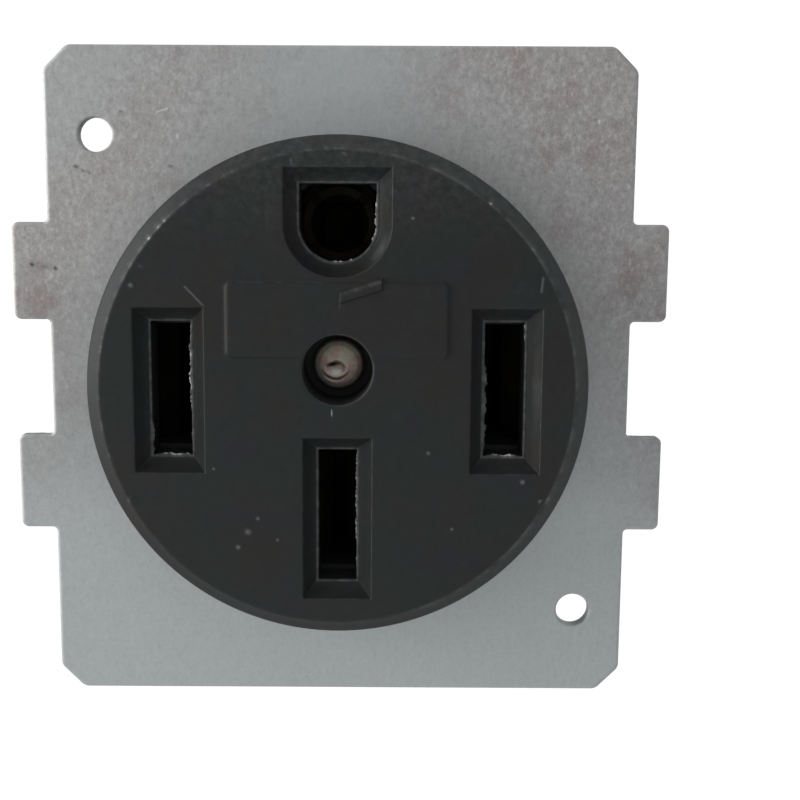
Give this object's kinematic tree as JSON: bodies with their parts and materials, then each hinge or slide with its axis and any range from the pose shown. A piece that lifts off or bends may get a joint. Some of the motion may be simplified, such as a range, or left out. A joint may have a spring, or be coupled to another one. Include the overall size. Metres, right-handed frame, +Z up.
{
  "type": "four prong power receptacle",
  "caption": "Round-faced power receptacle on a steel strap: bevelled blade slots, a U-shaped ground opening, and rear-entry clamp terminals.",
  "frame": {"origin": "centre of the strap's rear face, midway between its two screw holes, on the face that lies against the outlet box", "axes": "-Y points out of the wall towards the plug, +Z up with the ground opening on top, +X right as the plug sees it"},
  "size_m": [0.0748, 0.0419, 0.075],
  "materials": {
    "black_moulding": "satin moulded phenolic",
    "zinc_plate": "dull mottled zinc plate",
    "rivet_steel": "dull, worn, slightly stained",
    "screw_steel": "bright zinc plate",
    "green_screw": "green finish that marks the ground",
    "brass": "plain drawn brass"
  },
  "bodies": {
    "root": {"mounting_strap": "zinc_plate", "face_cover": "black_moulding", "rear_housing": "black_moulding", "assembly_rivet": "rivet_steel", "rivet_washer": "zinc_plate", "ground_bonding_strip": "brass", "line_x_contact": "brass", "line_x_lug": "brass", "line_x_pressure_plate": "zinc_plate", "line_x_clamp_screw": "screw_steel", "line_y_contact": "brass", "line_y_lug": "brass", "line_y_pressure_plate": "zinc_plate", "line_y_clamp_screw": "screw_steel", "neutral_contact": "brass", "neutral_lug": "brass", "neutral_pressure_plate": "zinc_plate", "neutral_clamp_screw": "screw_steel", "ground_contact": "brass", "ground_lug": "brass", "ground_pressure_plate": "zinc_plate", "ground_clamp_screw": "green_screw"}
  },
  "joints": []
}
